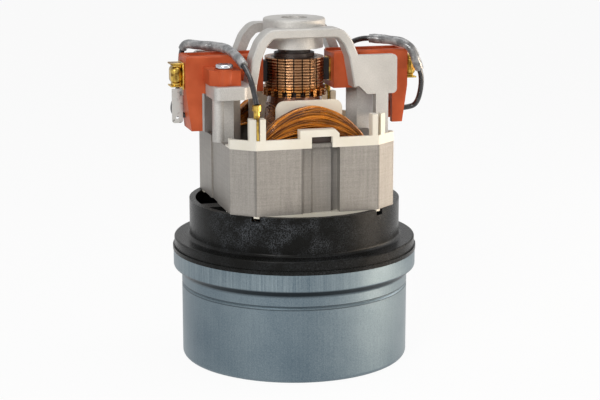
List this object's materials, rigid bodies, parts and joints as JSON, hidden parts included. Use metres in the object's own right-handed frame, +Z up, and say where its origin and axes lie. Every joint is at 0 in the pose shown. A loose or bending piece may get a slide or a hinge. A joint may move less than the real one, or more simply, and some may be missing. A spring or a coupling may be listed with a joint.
{
  "type": "vacuum motor unit",
  "caption": "Through-flow vacuum cleaner motor: pressed steel fan can, flanged diffuser bracket, open wound field, commutator with brushes and a cast bearing bracket.",
  "frame": {"origin": "middle of the intake eye, in the plane of the fan can's bottom that the unit stands on", "axes": "+Z up the shaft, X along the brushes (+X towards the brush without a supply tab), Y along the field coils, front coil at -Y"},
  "size_m": [0.1512, 0.1446, 0.201],
  "materials": {
    "can_steel": "satin",
    "steel": "satin",
    "zinc_steel": "bright zinc",
    "lamination_steel": "satin",
    "aluminium_sheet": "satin",
    "cast_aluminium": "as cast",
    "black_plastic": "matt",
    "seal_plastic": "matt",
    "white_plastic": "satin",
    "red_plastic": "satin",
    "copper": "enamelled copper",
    "brass": "polished",
    "tin": "tinned",
    "carbon": "matt",
    "wire_rubber": "gloss",
    "sleeve_plastic": "gloss"
  },
  "bodies": {
    "frame": {"back_lower_insulator": "white_plastic", "back_upper_insulator": "white_plastic", "bearing_retainer": "steel", "coil_winding_back": "copper", "coil_winding_front": "copper", "diffuser_bracket": "black_plastic", "fan_can": "can_steel", "field_coil_back": "copper", "field_coil_front": "copper", "field_stack": "lamination_steel", "frame_screws": "zinc_steel", "front_lower_insulator": "white_plastic", "front_upper_insulator": "white_plastic", "holder_screws": "zinc_steel", "inlet_seal": "seal_plastic", "left_brush_cap": "brass", "left_brush_holder": "red_plastic", "left_brush_spring": "steel", "left_brush_tube": "brass", "left_lead_sleeve": "sleeve_plastic", "left_lead_wire": "wire_rubber", "lower_bearing_outer_ring": "steel", "motor_bracket": "cast_aluminium", "retainer_screws": "zinc_steel", "right_brush_cap": "brass", "right_brush_holder": "red_plastic", "right_brush_spring": "steel", "right_brush_tube": "brass", "right_lead_sleeve": "sleeve_plastic", "right_lead_wire": "wire_rubber", "stage_guide": "aluminium_sheet", "supply_tab": "tin", "tower_terminals": "brass", "upper_bearing_outer_ring": "steel", "wave_washer": "steel"},
    "rotor": {"shaft": "steel", "impeller_1": "aluminium_sheet", "impeller_2": "aluminium_sheet", "fan_spacer_lower": "steel", "fan_spacer_upper": "steel", "fan_washers": "steel", "fan_nut": "steel", "armature_stack": "lamination_steel", "armature_winding": "copper", "commutator_hub": "black_plastic", "commutator_bars": "copper", "commutator_washer": "black_plastic", "lower_bearing_inner_ring": "steel", "upper_bearing_inner_ring": "steel"},
    "left_brush": {"left_carbon_brush": "carbon"},
    "right_brush": {"right_carbon_brush": "carbon"},
    "lower_bearing_set": {"lower_bearing_balls": "steel", "lower_bearing_cage": "steel"},
    "upper_bearing_set": {"upper_bearing_balls": "steel", "upper_bearing_cage": "steel"}
  },
  "joints": [
    {"name": "rotor_spin", "type": "hinge", "parent": "frame", "child": "rotor", "pos_m": [0, 0, 0.11], "axis": [0, 0, 1], "continuous": true},
    {"name": "lower_bearing_spin", "type": "hinge", "parent": "frame", "child": "lower_bearing_set", "pos_m": [0, 0, 0.0705], "axis": [0, 0, 1], "continuous": true},
    {"name": "upper_bearing_spin", "type": "hinge", "parent": "frame", "child": "upper_bearing_set", "pos_m": [0, 0, 0.1899], "axis": [0, 0, 1], "continuous": true},
    {"name": "left_brush_slide", "type": "slide", "parent": "frame", "child": "left_brush", "axis": [-1, 0, 0], "range_m": [0, 0.012], "stiffness_N_per_m": 120, "springref_m": -0.02, "deforming": ["left_brush_spring"]},
    {"name": "right_brush_slide", "type": "slide", "parent": "frame", "child": "right_brush", "axis": [1, 0, 0], "range_m": [0, 0.012], "stiffness_N_per_m": 120, "springref_m": -0.02, "deforming": ["right_brush_spring"]}
  ],
  "couplings": [
    {"joint": "lower_bearing_spin", "follows": "rotor_spin", "ratio": 0.368},
    {"joint": "upper_bearing_spin", "follows": "rotor_spin", "ratio": 0.368}
  ]
}
